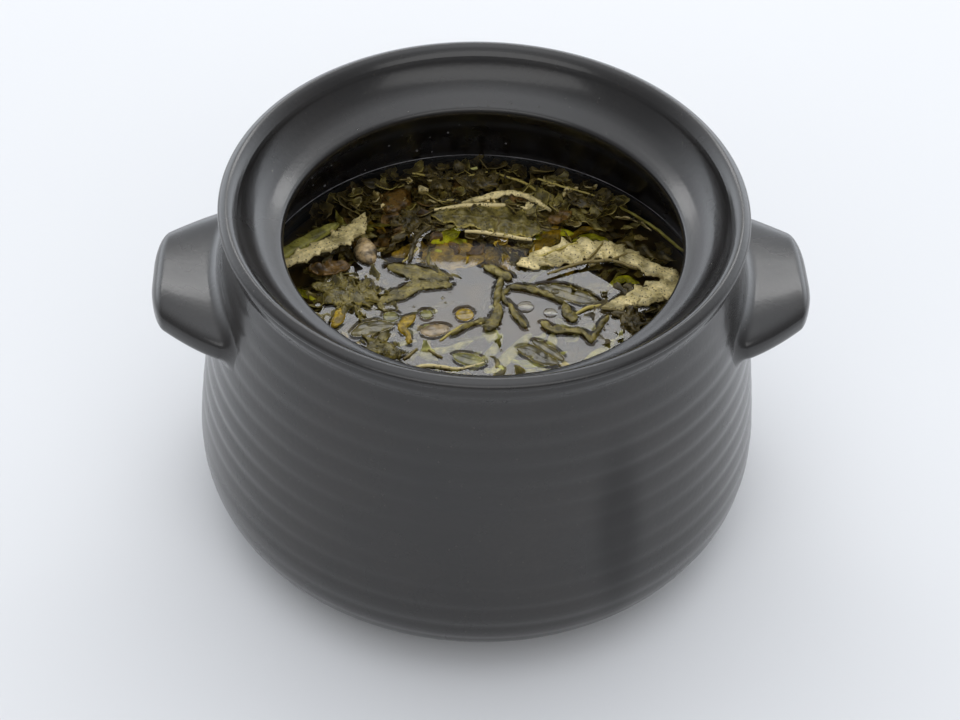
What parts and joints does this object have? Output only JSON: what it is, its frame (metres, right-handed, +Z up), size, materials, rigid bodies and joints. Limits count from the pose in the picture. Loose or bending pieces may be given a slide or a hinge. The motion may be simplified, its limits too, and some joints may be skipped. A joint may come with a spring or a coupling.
{
  "type": "pot of stewed greens in dark broth",
  "caption": "Round stoneware pot with side handles and a flared lid seat, part filled with dark broth on which wilted leaves, stalks and leaf clumps float.",
  "frame": {"origin": "middle of the pot's flat base, on the surface it stands on", "axes": "+Z up, the two handles along X, +Y away from the viewer"},
  "size_m": [0.2912, 0.2566, 0.1681],
  "materials": {
    "stoneware": "satin dark charcoal glaze",
    "broth": "glossy dark olive-brown liquid",
    "pale_leaf": "wet, cooked pale leaf",
    "green_stalk": "wet, cooked olive stalk",
    "wilted_leaf": "wet, cooked olive-brown leaf",
    "dark_leaf": "wet, cooked dark leaf",
    "brown_leaf": "wet, cooked brown leaf",
    "amber_leaf": "wet, cooked amber leaf",
    "pink_lump": "wet, cooked pale flesh"
  },
  "bodies": {
    "root": {"pot": "stoneware", "broth": "broth", "stalk_green": "green_stalk", "stalk_pale": "pale_leaf", "lump_pale": "pink_lump", "leaf_brown": "brown_leaf", "lump_brown": "brown_leaf", "leaf_fork": "pale_leaf", "leaf_wilted_top": "wilted_leaf", "rib_top": "pale_leaf", "sprig_red": "brown_leaf", "sprig_centre": "wilted_leaf", "leaf_rib_right": "wilted_leaf", "leaf_hook": "wilted_leaf", "leaf_smooth": "wilted_leaf", "leaf_float_left": "wilted_leaf", "stem_dark_left": "dark_leaf", "leaf_amber_tip": "amber_leaf", "leaf_amber": "amber_leaf", "pad_long": "wilted_leaf", "pad_pink": "pink_lump", "pad_round_left": "wilted_leaf", "pad_round_centre": "wilted_leaf", "pad_amber": "amber_leaf", "pad_front": "green_stalk", "leaf_front_right": "wilted_leaf", "clump_left": "wilted_leaf", "clump_front": "wilted_leaf", "clump_right": "dark_leaf", "clump_top_left": "dark_leaf", "clump_top": "dark_leaf", "clump_top_right": "dark_leaf", "clump_middle": "dark_leaf", "clump_near": "wilted_leaf", "leaf_near_left": "wilted_leaf", "leaf_near_right": "pale_leaf", "stalk_near": "green_stalk"}
  },
  "joints": []
}
